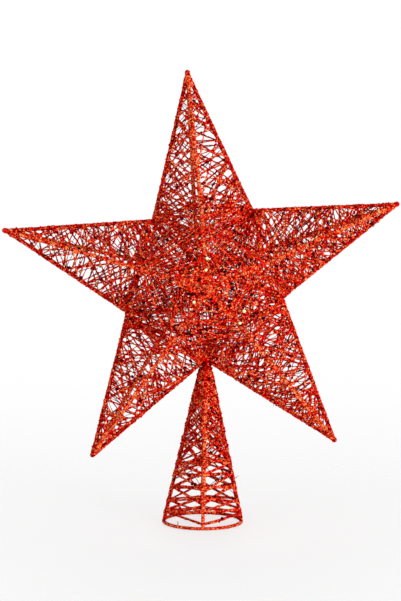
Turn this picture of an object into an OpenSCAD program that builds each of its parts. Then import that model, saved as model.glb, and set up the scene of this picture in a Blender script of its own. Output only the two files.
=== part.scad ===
// Star tree topper: a five-pointed star of straight steel wires, raised to a peak
// front and back, on a cone of four uprights that slips over the tip of a tree.
// Glittered thread is wound round the arms, the centre, the cone and its neck.
// Millimetres, +Z up, front towards -Y. The origin is the centre of the base ring,
// on the plane that the ring rests on.

/* [Star] */
// Centre of the star to the middle of the wire at a tip
star_r = 131; // [100:1:170]
// Height of the front peak and of the back peak above the star's flat outline
peak_h = 36; // [26:1:50]
// Lean of the star on its cone, anticlockwise seen from the front
star_lean = 3.6; // [0:0.2:6]
// Distance past a tip's corner at which the two outline wires are snipped off
tip_snip = 1; // [0.6:0.1:1.6]

/* [Cone] */
// Middle of the base ring's wire to the cone's axis
ring_r = 24.6; // [20:0.2:32]
// Height of the star's lowest inner corner above the resting plane
neck_h = 105; // [80:1:140]
// Length that the front and back uprights rise past that corner
clasp_l = 2.5; // [1:0.5:4]
// Turn of the cone under the star, clockwise seen from above
cone_turn = 5; // [0:0.5:10]

/* [Wire] */
// Diameter of the star's outline wires
outline_wire_d = 2; // [1.6:0.1:2.4]
// Diameter of the ridge wires
ridge_wire_d = 2; // [1.6:0.1:2.4]
// Diameter of the cone's uprights and base ring
cone_wire_d = 2; // [1.6:0.1:2.4]
// Diameter of the weld bead where five ridge wires meet
peak_weld_d = 5.2; // [4.8:0.1:6]

/* [Thread] */
// Diameter of the glittered thread
thread_d = 0.8; // [0.5:0.1:1]
// Loops of thread round each arm, half on the way out and half on the way back
arm_loops = 14; // [8:2:16]
// Loops of thread round the centre of the star, front and back alike
web_loops = 7; // [4:1:8]
// Loops of thread round the cone, half on the way up and half on the way back
cone_loops = 18; // [10:2:20]
// Loops of thread that bind the neck
neck_loops = 5; // [3:1:6]
// Length of the neck's binding along the cone's axis
neck_binding_l = 8; // [6:0.5:9]
// Distance from the star's lowest inner corner down to the neck's binding
neck_binding_drop = 9.5; // [9:0.5:12]

/* [Hidden] */

// Air left at a welded or tied joint, between the surfaces of two pieces
seat_gap = 0.3;
// Air between the inner and the outer layer of a winding
layer_gap = 0.9;
// Overrun of a wire past its mitres, as a share of the wire's radius
overrun_share = 5;
// Length of a thread's tied end, as a share of its diameter
tie_share = 1.25;
// Slant of the thread between two wires, as shares of the pitch: the inner layer slants
// one way and the outer layer the other, so that on every wire the outer loops lie
// midway between the inner ones
even_slant_share = 1 / 4;
odd_slant_share = 1 / 2;
// Sides of a thread's tube
thread_sides = 5;
// Faces round a wire
wire_fn = 32;

// The star is bent by hand: each tip and each inner corner is off its true place by
// these shares of the star's radius, to the right and up. Arms go anticlockwise from
// the top one, and inner corner k follows tip k.
tip_bend_shares = [[-0.019, -0.004], [0.024, 0], [0, 0], [0, -0.009], [-0.002, -0.005]];
corner_bend_shares = [[0.002, -0.003], [-0.008, -0.007], [-0.012, 0.002],
                      [0.007, 0.011], [0.024, 0.015]];

// Share of an arm's length, from its tip, where its winding starts and turns back
arm_start_share = 0.15;
arm_turn_share = 0.84;
// Share of a ridge, from the peak, where the web of thread starts and ends
web_start_share = 0.075;
web_end_share = 0.3;
// The side uprights' distance from the neck where they aim, as a share of the front one's
side_clear_share = 0.7;
// Share of the uprights' height where the cone's winding starts
cone_start_share = 0.07;
// Share of the uprights' height left bare between the cone's winding and the binding
bare_share = 0.06;

outline_r = outline_wire_d / 2;
ridge_r = ridge_wire_d / 2;
cone_r = cone_wire_d / 2;
weld_r = peak_weld_d / 2;
thread_r = thread_d / 2;

// Five straight lines from tip to tip cross at the inner corners of the star
inner_r = star_r * cos(72) / cos(36);

function unit(v) = v / norm(v);
function mix(a, b, share) = a + (b - a) * share;
function turned(angle, r) = [r * cos(angle), 0, r * sin(angle)];
function bend(shares) = [shares[0], 0, shares[1]] * star_r;

// Places of the tips and inner corners, measured from the star's centre
function flat_tip(k) = turned(90 + star_lean + 72 * k, star_r) + bend(tip_bend_shares[k]);
function flat_corner(k) =
    turned(90 + star_lean + 72 * k + 36, inner_r) + bend(corner_bend_shares[k]);

star_centre = [0, 0, neck_h - flat_corner(2)[2]];
function tip(k) = star_centre + flat_tip(k % 5);
function corner(k) = star_centre + flat_corner(k % 5);
front_peak = star_centre - [0, peak_h, 0];
back_peak = star_centre + [0, peak_h, 0];
neck = corner(2);

// Share of a ridge, from its tip, that lies outside the star's centre pentagon
arm_share = 1 - inner_r * cos(36) / star_r;

// Foot and head of upright j, counted from the front one towards +X: its middle line
// starts on the ring's. The front and back ones pass the neck with the seat's gap, and
// the side ones, which stop below it, lean in further
function upright_way(j) =
    let (angle = 90 * j - 90 - cone_turn)
    [cos(angle), sin(angle), 0];
neck_clear = cone_r + outline_r + seat_gap;
side_clear = side_clear_share * neck_clear;
function upright_foot(j) = upright_way(j) * ring_r + [0, 0, cone_r];
function upright_head(j) = neck + upright_way(j) * (j % 2 == 0 ? neck_clear : side_clear);

// A wire's place in the world: its children stand along +Z at point a, towards b
module along(a, b) {
    way = b - a;
    translate(a)
        rotate([0, acos(way[2] / norm(way)), atan2(way[1], way[0])])
            children();
}

module straight_wire(a, b, r) {
    along(a, b)
        cylinder(r = r, h = norm(b - a), $fn = wire_fn);
}

// Takes off what lies past the plane through p, on the side that the normal points to
module cut_past(p, normal, reach) {
    along(p, p + normal)
        translate([-reach, -reach, 0])
            cube([2 * reach, 2 * reach, 2 * reach]);
}

// An outline wire from a tip to an inner corner, mitred against its neighbour at each
// end and snipped at the tip
module outline_wire(from_tip, to_corner, other_corner, other_tip) {
    run = unit(to_corner - from_tip);
    other_run = unit(other_corner - from_tip);
    tip_face = unit(other_run - run);
    tip_way = -unit(other_run + run);
    corner_face = unit(unit(other_tip - to_corner) + run);
    color([0.62, 0.05, 0.04])
        difference() {
            straight_wire(from_tip - run * overrun_share * outline_r,
                          to_corner + run * overrun_share * outline_r, outline_r);
            cut_past(from_tip - tip_face * seat_gap / 2, tip_face, 2 * overrun_share * outline_r);
            cut_past(from_tip + tip_way * tip_snip, tip_way, 2 * overrun_share * outline_r);
            cut_past(to_corner - corner_face * seat_gap / 2, corner_face,
                     2 * overrun_share * outline_r);
        }
}

module outline_wire_left(k) {
    outline_wire(tip(k), corner(k), corner(k + 4), tip(k + 1));
}

module outline_wire_right(k) {
    outline_wire(tip(k), corner(k + 4), corner(k), tip(k + 4));
}

// Distance from a tip at which a ridge wire lies in the fork of the outline wires
function fork_depth(k, peak) =
    let (ridge = unit(peak - tip(k)),
         left = norm(cross(ridge, unit(corner(k) - tip(k)))),
         right = norm(cross(ridge, unit(corner(k + 4) - tip(k)))))
    (ridge_r + outline_r + seat_gap) / min(left, right);

// A ridge wire, from the fork at its tip to the weld bead at its peak
module ridge_wire(k, peak) {
    run = unit(peak - tip(k));
    color([0.85, 0.2, 0.08])
        straight_wire(tip(k) + run * fork_depth(k, peak),
                      peak - run * (weld_r + seat_gap), ridge_r);
}

module peak_weld(peak) {
    color([0.8, 0.16, 0.07])
        translate(peak)
            sphere(r = weld_r, $fn = wire_fn);
}

module base_ring() {
    color([0.66, 0.06, 0.04])
        translate([0, 0, cone_r])
            rotate_extrude($fn = 96)
                translate([ring_r, 0])
                    circle(r = cone_r, $fn = wire_fn);
}

// The front and back uprights clasp the star's lowest inner corner
module clasping_upright(j) {
    run = unit(upright_head(j) - upright_foot(j));
    color([0.72, 0.09, 0.05])
        straight_wire(upright_foot(j) + run * (cone_r + seat_gap),
                      upright_head(j) + run * clasp_l, cone_r);
}

// The side uprights stop under the outline wires: the drop from the neck at which an
// upright that leans by lean_angle clears a wire that falls away at fall_angle
function side_drop(fall_angle, lean_angle) =
    (outline_r + seat_gap + cone_r * sin(fall_angle + lean_angle)
        + side_clear * sin(fall_angle))
    / (cos(fall_angle) - tan(lean_angle) * sin(fall_angle));

module side_upright(j, wire_end) {
    whole = upright_head(j) - upright_foot(j);
    run = unit(whole);
    lean_angle = atan2(norm([whole[0], whole[1]]), whole[2]);
    fall = neck - wire_end;
    fall_angle = atan2(fall[2], norm([fall[0], fall[1]]));
    drop = side_drop(fall_angle, lean_angle);
    color([0.72, 0.09, 0.05])
        straight_wire(upright_foot(j) + run * (cone_r + seat_gap),
                      upright_head(j) - run * drop / run[2], cone_r);
}

function squared_to(v, way) = unit(v - way * (v * way) / (way * way));

// Two points that carry a thread round a wire that runs along way, with its middle at
// here, so that the thread's middle line keeps the distance clear from it
function round_wire(before, here, after, way, clear) =
    let (back = squared_to(before - here, way),
         on = squared_to(after - here, way),
         out = -unit(back + on),
         side = unit(on - back),
         quarter = (180 - acos(back * on)) / 4,
         reach = clear / cos(quarter))
    [here + reach * (out * cos(quarter) - side * sin(quarter)),
     here + reach * (out * cos(quarter) + side * sin(quarter))];

// Distance from the middle of a wire to that of the thread, on each layer
function layer_clear(wire_r, layer) =
    wire_r + seat_gap + thread_r + layer * (thread_d + layer_gap);

// The two points of a thread's tied end, which stands on the outside of a wire whose
// middle is at here
function tied_end(here, out, wire_r) =
    [here + out * (wire_r + seat_gap),
     here + out * (wire_r + seat_gap + thread_d * tie_share)];
function backwards(points) = [for (i = [len(points) - 1 : -1 : 0]) points[i]];

// One unbroken thread, wound out and back over wires that wire_at(j, share) places
function there_and_back(i, count, first, last) =
    let (half = count / 2)
    i <= half ? mix(first, last, i / half) : mix(last, first, (i - half) / half);

function wound_path(wire_at, wires, loops, first, last, wire_r) =
    let (count = wires * loops,
         half = count / 2,
         pitch = (last - first) * wires / half,
         places = [for (i = [0 : count])
             let (hand = i <= half ? 1 : -1,
                  slant = (i % 2 == 0 ? even_slant_share : -odd_slant_share) * pitch)
             wire_at(i % wires, there_and_back(i, count, first, last) + hand * slant)],
         ways = [for (j = [0 : wires - 1]) unit(wire_at(j, 1) - wire_at(j, 0))],
         out = squared_to(places[0] - places[wires / 2], ways[0]))
    [each tied_end(places[0], out, wire_r),
     for (i = [1 : count - 1])
         each round_wire(places[i - 1], places[i], places[i + 1], ways[i % wires],
                         layer_clear(wire_r, i <= half ? 0 : 1)),
     places[count] + out * layer_clear(wire_r, 1),
     places[count] + out * (wire_r + seat_gap)];

// Places of the four wires of arm k, as shares of its length from the tip
function arm_wire_at(k) = function (j, share)
    j == 0 ? mix(tip(k), corner(k), share)
    : j == 1 ? mix(tip(k), front_peak, share * arm_share)
    : j == 2 ? mix(tip(k), corner(k + 4), share)
    : mix(tip(k), back_peak, share * arm_share);

function arm_path(k) =
    wound_path(arm_wire_at(k), 4, arm_loops, arm_start_share, arm_turn_share,
               max(outline_r, ridge_r));

// A spiral that crosses the ridges of one side outwards from its peak. The thread
// lies on the outside of each ridge and turns there in two steps.
function web_path(peak, outward) =
    let (count = 5 * web_loops,
         places = [for (i = [0 : count])
             mix(peak, tip(i), mix(web_start_share, web_end_share, i / count))],
         clear = layer_clear(ridge_r, 0),
         step = thread_d)
    [each tied_end(places[0], squared_to(outward, tip(0) - peak), ridge_r),
     for (i = [1 : count - 1])
         let (way = unit(places[i + 1] - places[i - 1]),
              ridge = unit(tip(i) - peak),
              lift = unit(outward - ridge * (outward * ridge)))
         each [places[i] + lift * clear - way * step, places[i] + lift * clear + way * step],
     each backwards(tied_end(places[count], squared_to(outward, tip(0) - peak), ridge_r))];

// Places of the four uprights, as shares of their height from the ring to the neck
function cone_wire_at() = function (j, share) mix(upright_foot(j), upright_head(j), share);

binding_top_share = 1 - neck_binding_drop / (neck_h - cone_r);
binding_foot_share = binding_top_share - neck_binding_l / (neck_h - cone_r);
cone_turn_share = binding_foot_share - bare_share;

function cone_path() =
    wound_path(cone_wire_at(), 4, cone_loops, cone_start_share, cone_turn_share, cone_r);

function neck_path() =
    let (count = 4 * neck_loops,
         at = cone_wire_at(),
         places = [for (i = [0 : count])
             at(i % 4, mix(binding_foot_share, binding_top_share, i / count))],
         ways = [for (j = [0 : 3]) unit(at(j, 1) - at(j, 0))],
         out = squared_to(places[0] - places[2], ways[0]))
    [each tied_end(places[0], out, cone_r),
     for (i = [1 : count - 1])
         each round_wire(places[i - 1], places[i], places[i + 1], ways[i % 4],
                         layer_clear(cone_r, 0)),
     each backwards(tied_end(places[count], out, cone_r))];

// Shortest way between two straight runs, a to b and c to d
function run_distance(a, b, c, d) =
    let (u = b - a, v = d - c, w = a - c,
         uu = u * u, uv = u * v, vv = v * v, uw = u * w, vw = v * w,
         spread = uu * vv - uv * uv,
         s = spread == 0 ? 0 : within_unit((uv * vw - vv * uw) / spread),
         t = within_unit((uv * s + vw) / vv),
         s_again = within_unit((uv * t - uw) / uu))
    norm(w + u * s_again - v * t);
function within_unit(x) = min(1, max(0, x));

// Least air between runs of one thread that aren't neighbours along it
function least_self_gap(path) =
    min([for (i = [0 : len(path) - 5], j = [i + 3 : len(path) - 2])
        run_distance(path[i], path[i + 1], path[j], path[j + 1])]) - thread_d;

// Directions of a path at its points, and across them with no twist from one to the next
function path_ways(path) =
    [for (i = [0 : len(path) - 1])
        unit(path[min(i + 1, len(path) - 1)] - path[max(i - 1, 0)])];

function path_sides(ways, first) =
    [for (i = 0, side = squared_to(first, ways[0]);
          i < len(ways);
          i = i + 1, side = squared_to(side, ways[min(i, len(ways) - 1)]))
        side];

// One tube of thread along a path, with flat ends
module thread(path, first_side, name) {
    echo(str(name, " least gap to itself"), least_self_gap(path));
    ways = path_ways(path);
    sides = path_sides(ways, first_side);
    n = thread_sides;
    points = [for (i = [0 : len(path) - 1], m = [0 : n - 1])
        let (angle = 360 * m / n)
        path[i] + thread_r * (sides[i] * cos(angle) + cross(ways[i], sides[i]) * sin(angle))];
    walls = [for (i = [0 : len(path) - 2], m = [0 : n - 1])
        let (a = i * n + m, b = i * n + (m + 1) % n)
        each [[a, a + n, b], [b, a + n, b + n]]];
    last = (len(path) - 1) * n;
    ends = [for (m = [1 : n - 2])
        each [[0, m, m + 1], [last, last + m + 1, last + m]]];
    polyhedron(points = points, faces = concat(walls, ends), convexity = 10);
}

module arm_winding(k) {
    path = arm_path(k);
    color([0.8, 0.1, 0.06])
        thread(path, tip(k) - star_centre, str("arm_winding_", k + 1));
}

module front_web() {
    color([0.86, 0.13, 0.07])
        thread(web_path(front_peak, [0, -1, 0]), [0, 0, 1], "front_web");
}

module back_web() {
    color([0.7, 0.08, 0.05])
        thread(web_path(back_peak, [0, 1, 0]), [0, 0, 1], "back_web");
}

module cone_winding() {
    color([0.8, 0.1, 0.06])
        thread(cone_path(), [0, 0, 1], "cone_winding");
}

module neck_binding() {
    color([0.6, 0.05, 0.04])
        thread(neck_path(), [0, 0, 1], "neck_binding");
}

for (k = [0 : 4]) {
    outline_wire_left(k);
    outline_wire_right(k);
    ridge_wire(k, front_peak);
    ridge_wire(k, back_peak);
    arm_winding(k);
}
peak_weld(front_peak);  // front_peak_weld
peak_weld(back_peak);  // back_peak_weld
base_ring();
clasping_upright(0);  // cone_upright_front
side_upright(1, tip(3));  // cone_upright_right
clasping_upright(2);  // cone_upright_back
side_upright(3, tip(2));  // cone_upright_left
front_web();
back_web();
cone_winding();
neck_binding();
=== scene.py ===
import math

import bpy
import numpy as np
from mathutils import Matrix, Vector
from numpy.random import default_rng


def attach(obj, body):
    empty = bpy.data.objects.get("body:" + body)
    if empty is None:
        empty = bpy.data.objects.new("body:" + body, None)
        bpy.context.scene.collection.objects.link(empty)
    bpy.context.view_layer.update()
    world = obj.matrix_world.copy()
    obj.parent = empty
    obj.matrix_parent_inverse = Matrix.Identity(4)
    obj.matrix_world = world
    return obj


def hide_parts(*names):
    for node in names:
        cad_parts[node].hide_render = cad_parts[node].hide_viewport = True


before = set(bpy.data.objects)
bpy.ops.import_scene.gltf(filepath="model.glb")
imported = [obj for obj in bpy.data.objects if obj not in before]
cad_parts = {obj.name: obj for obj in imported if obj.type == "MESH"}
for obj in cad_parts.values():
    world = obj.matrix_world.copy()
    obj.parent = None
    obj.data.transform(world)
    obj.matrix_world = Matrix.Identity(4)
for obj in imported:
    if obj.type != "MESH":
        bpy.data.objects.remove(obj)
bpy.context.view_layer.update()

# The star and its cone, in metres, as the CAD has them
MM = 0.001
STAR_R = 131 * MM
PEAK_H = 36 * MM
STAR_LEAN = 3.6
RING_R = 24.6 * MM
NECK_H = 105 * MM
CONE_TURN = 5
WIRE_R = 1 * MM
SEAT_GAP = 0.3 * MM
WELD_R = 2.6 * MM
TIP_BEND_SHARES = [(-0.019, -0.004), (0.024, 0), (0, 0), (0, -0.009), (-0.002, -0.005)]
CORNER_BEND_SHARES = [(0.002, -0.003), (-0.008, -0.007), (-0.012, 0.002),
                      (0.007, 0.011), (0.024, 0.015)]

# Glittered thread and the thin thread under it
THREAD_R = 0.38 * MM
FINE_R = 0.19 * MM
THREAD_STEP = 1.0 * MM
THREAD_SIDES = 5
# Slack of a thread as a share of its span, and how far off each of its points lies
SLACK = 0.010
WOBBLE = 0.05 * MM
# How unevenly thick a thread is, slowly along it and from place to place on it
SWELL = 0.20
ROUGHNESS = 0.13
SWELL_POINTS = 5
THINNEST, THICKEST = 0.6, 1.7
# Thickness of a thread of the lower cone's strands, and of the neck's binding
BUNDLE_THREAD_R = 0.42 * MM
NECK_THREAD_R = 0.28 * MM
# Thread wound tight on a wire: middle of its skin, height of its ribs, and their pitch
WRAP_R = 1.13 * MM
WRAP_RIB = 0.09 * MM
WRAP_PITCH = 0.9 * MM
WRAP_STEP = 0.3 * MM
WRAP_SIDES = 10
WRAP_ROUGH = 0.05 * MM
# Its slow bumps and their spacing, its least cover over the wire, and its closed ends: their
# length, and the share of its thickness that is left there
WRAP_BUMPS = 0.10 * MM
WRAP_BUMP_STEP = 2 * MM
WRAP_COVER = 0.03 * MM
WRAP_CLOSE = 1.2 * MM
WRAP_END = 0.25

ARMS = range(5)
UP = np.array([0, 0, 1.0])
# Tilts the way that a thread's first side faces, so that no thread runs along it
TURNED = np.array([0.05, 0, 0.03])

# Seeds of the random draws
ARM_SEEDS = [300, 501, 702, 303, 204]
WEB_SEEDS = {"front": 31, "back": 32}
CONE_SEED, NECK_SEED, PALE_DOT_SEED = 51, 52, 61
OUTLINE_SEED, RIDGE_SEED, UPRIGHT_SEED = 200, 300, 400
RING_SEED, PEAK_SEED, TIP_SEED = 410, 500, 600


def unit(v):
    return v / np.linalg.norm(v, axis=-1, keepdims=True)


def mix(a, b, share):
    return a + (b - a) * share


def polar(angle, r):
    return np.array([r * math.cos(math.radians(angle)), 0, r * math.sin(math.radians(angle))])


def bent(shares):
    return np.array([shares[0], 0, shares[1]]) * STAR_R


INNER_R = STAR_R * math.cos(math.radians(72)) / math.cos(math.radians(36))
FLAT_TIPS = [polar(90 + STAR_LEAN + 72 * k, STAR_R) + bent(TIP_BEND_SHARES[k]) for k in ARMS]
FLAT_CORNERS = [polar(90 + STAR_LEAN + 72 * k + 36, INNER_R) + bent(CORNER_BEND_SHARES[k])
                for k in ARMS]
CENTRE = np.array([0, 0, NECK_H - FLAT_CORNERS[2][2]])
TIPS = [CENTRE + t for t in FLAT_TIPS]
CORNERS = [CENTRE + c for c in FLAT_CORNERS]
FACES = ("front", "back")
OUTWARD = {"front": np.array([0, -1.0, 0]), "back": np.array([0, 1.0, 0])}
PEAKS = {face: CENTRE + OUTWARD[face] * PEAK_H for face in FACES}
NECK = CORNERS[2]
# Share of a ridge, from its tip, that lies outside the centre pentagon
ARM_SHARE = 1 - INNER_R * math.cos(math.radians(36)) / STAR_R
NECK_CLEAR = 2 * WIRE_R + SEAT_GAP
SIDE_CLEAR = 0.7 * NECK_CLEAR


def upright(j):
    angle = math.radians(90 * j - 90 - CONE_TURN)
    way = np.array([math.cos(angle), math.sin(angle), 0])
    head = way * (NECK_CLEAR if j % 2 == 0 else SIDE_CLEAR)
    return way * RING_R + UP * WIRE_R, NECK + head


UPRIGHTS = {name: upright(j) for j, name in enumerate(("front", "right", "back", "left"))}


# Materials

# Width of a flake of glitter, of the flecks on it, and of the uneven patches
FLAKE = 0.80 * MM
FLECK = 0.42 * MM
PATCH = 4 * MM
# How far a fleck, and a patch, move a flake's place on the ramp of colours
FLECK_STRENGTH = 0.35
PATCH_STRENGTH = 0.22
SPECULAR = 0.015
RED_TINT = (1.0, 0.15, 0.08)


def feed(tree, node, inputs):
    """Links sockets to a node's inputs, and sets the other ones to their values."""
    for key, value in inputs.items():
        if isinstance(value, bpy.types.NodeSocket):
            tree.links.new(value, node.inputs[key])
        else:
            node.inputs[key].default_value = value


def add_node(tree, kind, inputs, operation=None):
    """The outputs of a new node that is fed with inputs."""
    node = tree.nodes.new("ShaderNode" + kind)
    if operation:
        node.operation = operation
    feed(tree, node, inputs)
    return node.outputs


def glitter(name, colours, metallic=0.08, rough=(0.3, 0.6), tilt=0.8,
            patch_strength=PATCH_STRENGTH, tint=RED_TINT):
    """Flakes of glitter, each with its own colour, shine and tilt, in uneven patches.

    colours has linear colours by their places on the ramp: partly the flakes' own tones, partly
    painted shade and painted glints."""
    mat = bpy.data.materials.new(name)
    mat.use_nodes = True
    tree = mat.node_tree
    place = add_node(tree, "TexCoord", {})["Object"]

    def cells(size):
        colour = add_node(tree, "TexVoronoi", {"Vector": place, "Scale": 1 / size})["Color"]
        return colour, add_node(tree, "SeparateColor", {"Color": colour})

    def centred(socket, reach):
        """The socket's 0 to 1 as a range of that reach about 0."""
        return add_node(tree, "Math", {0: socket, 1: reach, 2: -reach / 2}, "MULTIPLY_ADD")[0]

    def added(one, other):
        return add_node(tree, "Math", {0: one, 1: other}, "ADD")[0]

    _, flake = cells(FLAKE)
    fleck_colour, fleck = cells(FLECK)
    patches = add_node(tree, "TexNoise", {"Vector": place, "Scale": 1 / PATCH, "Detail": 2.0})
    pick = added(added(flake["Red"], centred(fleck["Red"], FLECK_STRENGTH)),
                 centred(patches["Fac"], 2 * patch_strength))
    ramp = add_node(tree, "ValToRGB", {"Fac": pick})["Color"]
    stops = ramp.node.color_ramp.elements
    for i, (at, colour) in enumerate(colours.items()):
        stop = stops[i] if i < 2 else stops.new(1.0)
        stop.position = at
        stop.color = (*colour, 1)
    shine = add_node(tree, "MapRange",
                     {"Value": fleck["Green"], "To Min": rough[0], "To Max": rough[1]})
    normal = add_node(tree, "NewGeometry", {})["Normal"]
    lean = add_node(tree, "VectorMath", {0: fleck_colour, 1: (2 * tilt,) * 3, 2: (-tilt,) * 3},
                    "MULTIPLY_ADD")
    tilted = add_node(tree, "VectorMath", {0: normal, 1: lean["Vector"]}, "ADD")
    facing = add_node(tree, "VectorMath", {0: tilted["Vector"]}, "NORMALIZE")
    feed(tree, tree.nodes["Principled BSDF"],
         {"Base Color": ramp, "Metallic": metallic, "Roughness": shine["Result"],
          "Specular IOR Level": SPECULAR, "Specular Tint": (*tint, 1),
          "Normal": facing["Vector"]})
    return mat


# Linear colours of the glitter, from its shade to where it catches the light
DARK = (0.09, 0.0001, 0.001)
DEEP = (0.26, 0.0002, 0.001)
RED = (0.62, 0.001, 0.001)
VIVID = (0.90, 0.003, 0.002)
BRIGHT = (0.98, 0.011, 0.007)
ORANGE = (1.0, 0.25, 0.062)
AMBER = (1.0, 0.52, 0.20)
# Colours of the thin dark thread, partly real thread and partly painted shade along the gaps, of
# the knots, and of the pale dots
THREAD_SHADE = (0.035, 0.0015, 0.004)
THREAD_RED = (0.12, 0.003, 0.006)
KNOT_SHADE = (0.012, 0.001, 0.003)
KNOT_RED = (0.10, 0.002, 0.004)
GOLD = (1.0, 0.74, 0.30)
PALE_GOLD = (1.0, 0.90, 0.60)
GOLD_TINT = (1.0, 0.9, 0.7)

arm_red = glitter("arm_thread_red", {0: DARK, 0.24: DEEP, 0.54: RED, 0.84: BRIGHT, 1: ORANGE})
arm_bright = glitter("arm_thread_bright",
                     {0: DEEP, 0.36: RED, 0.69: BRIGHT, 0.90: ORANGE, 1: AMBER})
# The web's glitter is the arms' glitter painted lighter, a painted highlight on the star's centre
web_red = glitter("web_thread_red",
                  {0: DARK, 0.13: DEEP, 0.28: RED, 0.47: VIVID, 0.77: BRIGHT,
                   0.97: ORANGE})
web_bright = glitter("web_thread_bright",
                     {0: DEEP, 0.25: RED, 0.45: VIVID, 0.68: BRIGHT, 0.90: ORANGE,
                      1: AMBER})
# Painted highlight of the front upright: the glitter shifted to orange and amber
upright_highlight = glitter("upright_highlight_glitter", {0: RED, 0.34: BRIGHT, 0.72: ORANGE, 1: AMBER})
# Painted shade of the neck's binding under the star's lower corner: the glitter shifted dark
neck_shade = glitter("neck_shade_glitter", {0: DARK, 0.50: DEEP, 0.86: RED, 1: BRIGHT})
# Painted highlight of the ridges, the peaks and the ring's front: the glitter shifted to orange
ridge_highlight = glitter("ridge_highlight_glitter", {0: DEEP, 0.22: RED, 0.50: BRIGHT, 0.80: ORANGE, 1: AMBER})
edge_red = glitter("edge_glitter", {0: DARK, 0.25: DEEP, 0.58: RED, 0.85: BRIGHT, 1: ORANGE})
fine_dark = glitter("fine_thread", {0.2: THREAD_SHADE, 0.9: THREAD_RED},
                    metallic=0.0, rough=(0.5, 0.8), tilt=0.3)
knot_black = glitter("knot", {0.3: KNOT_SHADE, 0.9: KNOT_RED},
                     metallic=0.0, rough=(0.45, 0.8), tilt=0.4)
pale_gold = glitter("pale_dot", {0.2: GOLD, 0.8: PALE_GOLD},
                    metallic=0.0, rough=(0.25, 0.4), tilt=0.15, patch_strength=0.1,
                    tint=GOLD_TINT)


# Meshes of thread

# Slots of a piece of thread: plain and bright thread, fine thread, knots, and the painted
# highlight that is repainted on it
PLAIN, LIT, FINE, KNOT, HIGHLIGHT = range(5)
# Room between the rows of a map, as a share of the widest strip, and its free edge
MAP_ROOM = 1.12
MAP_EDGE = 0.001
# Faces repainted together, and the shares of a reach between which they stop
PAINT_BLOCK = 15
PAINT_LEAST, PAINT_RANGE = 0.7, 0.6
# Under this, a thread goes back the way it came
U_TURN = 0.001
# Steps of a span that is too short for slack
SHORT_SPAN = 3


def squared(v, way):
    """The way squarest to another that lies in a plane with v."""
    return unit(v - way * np.sum(v * way, -1, keepdims=True))


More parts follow.
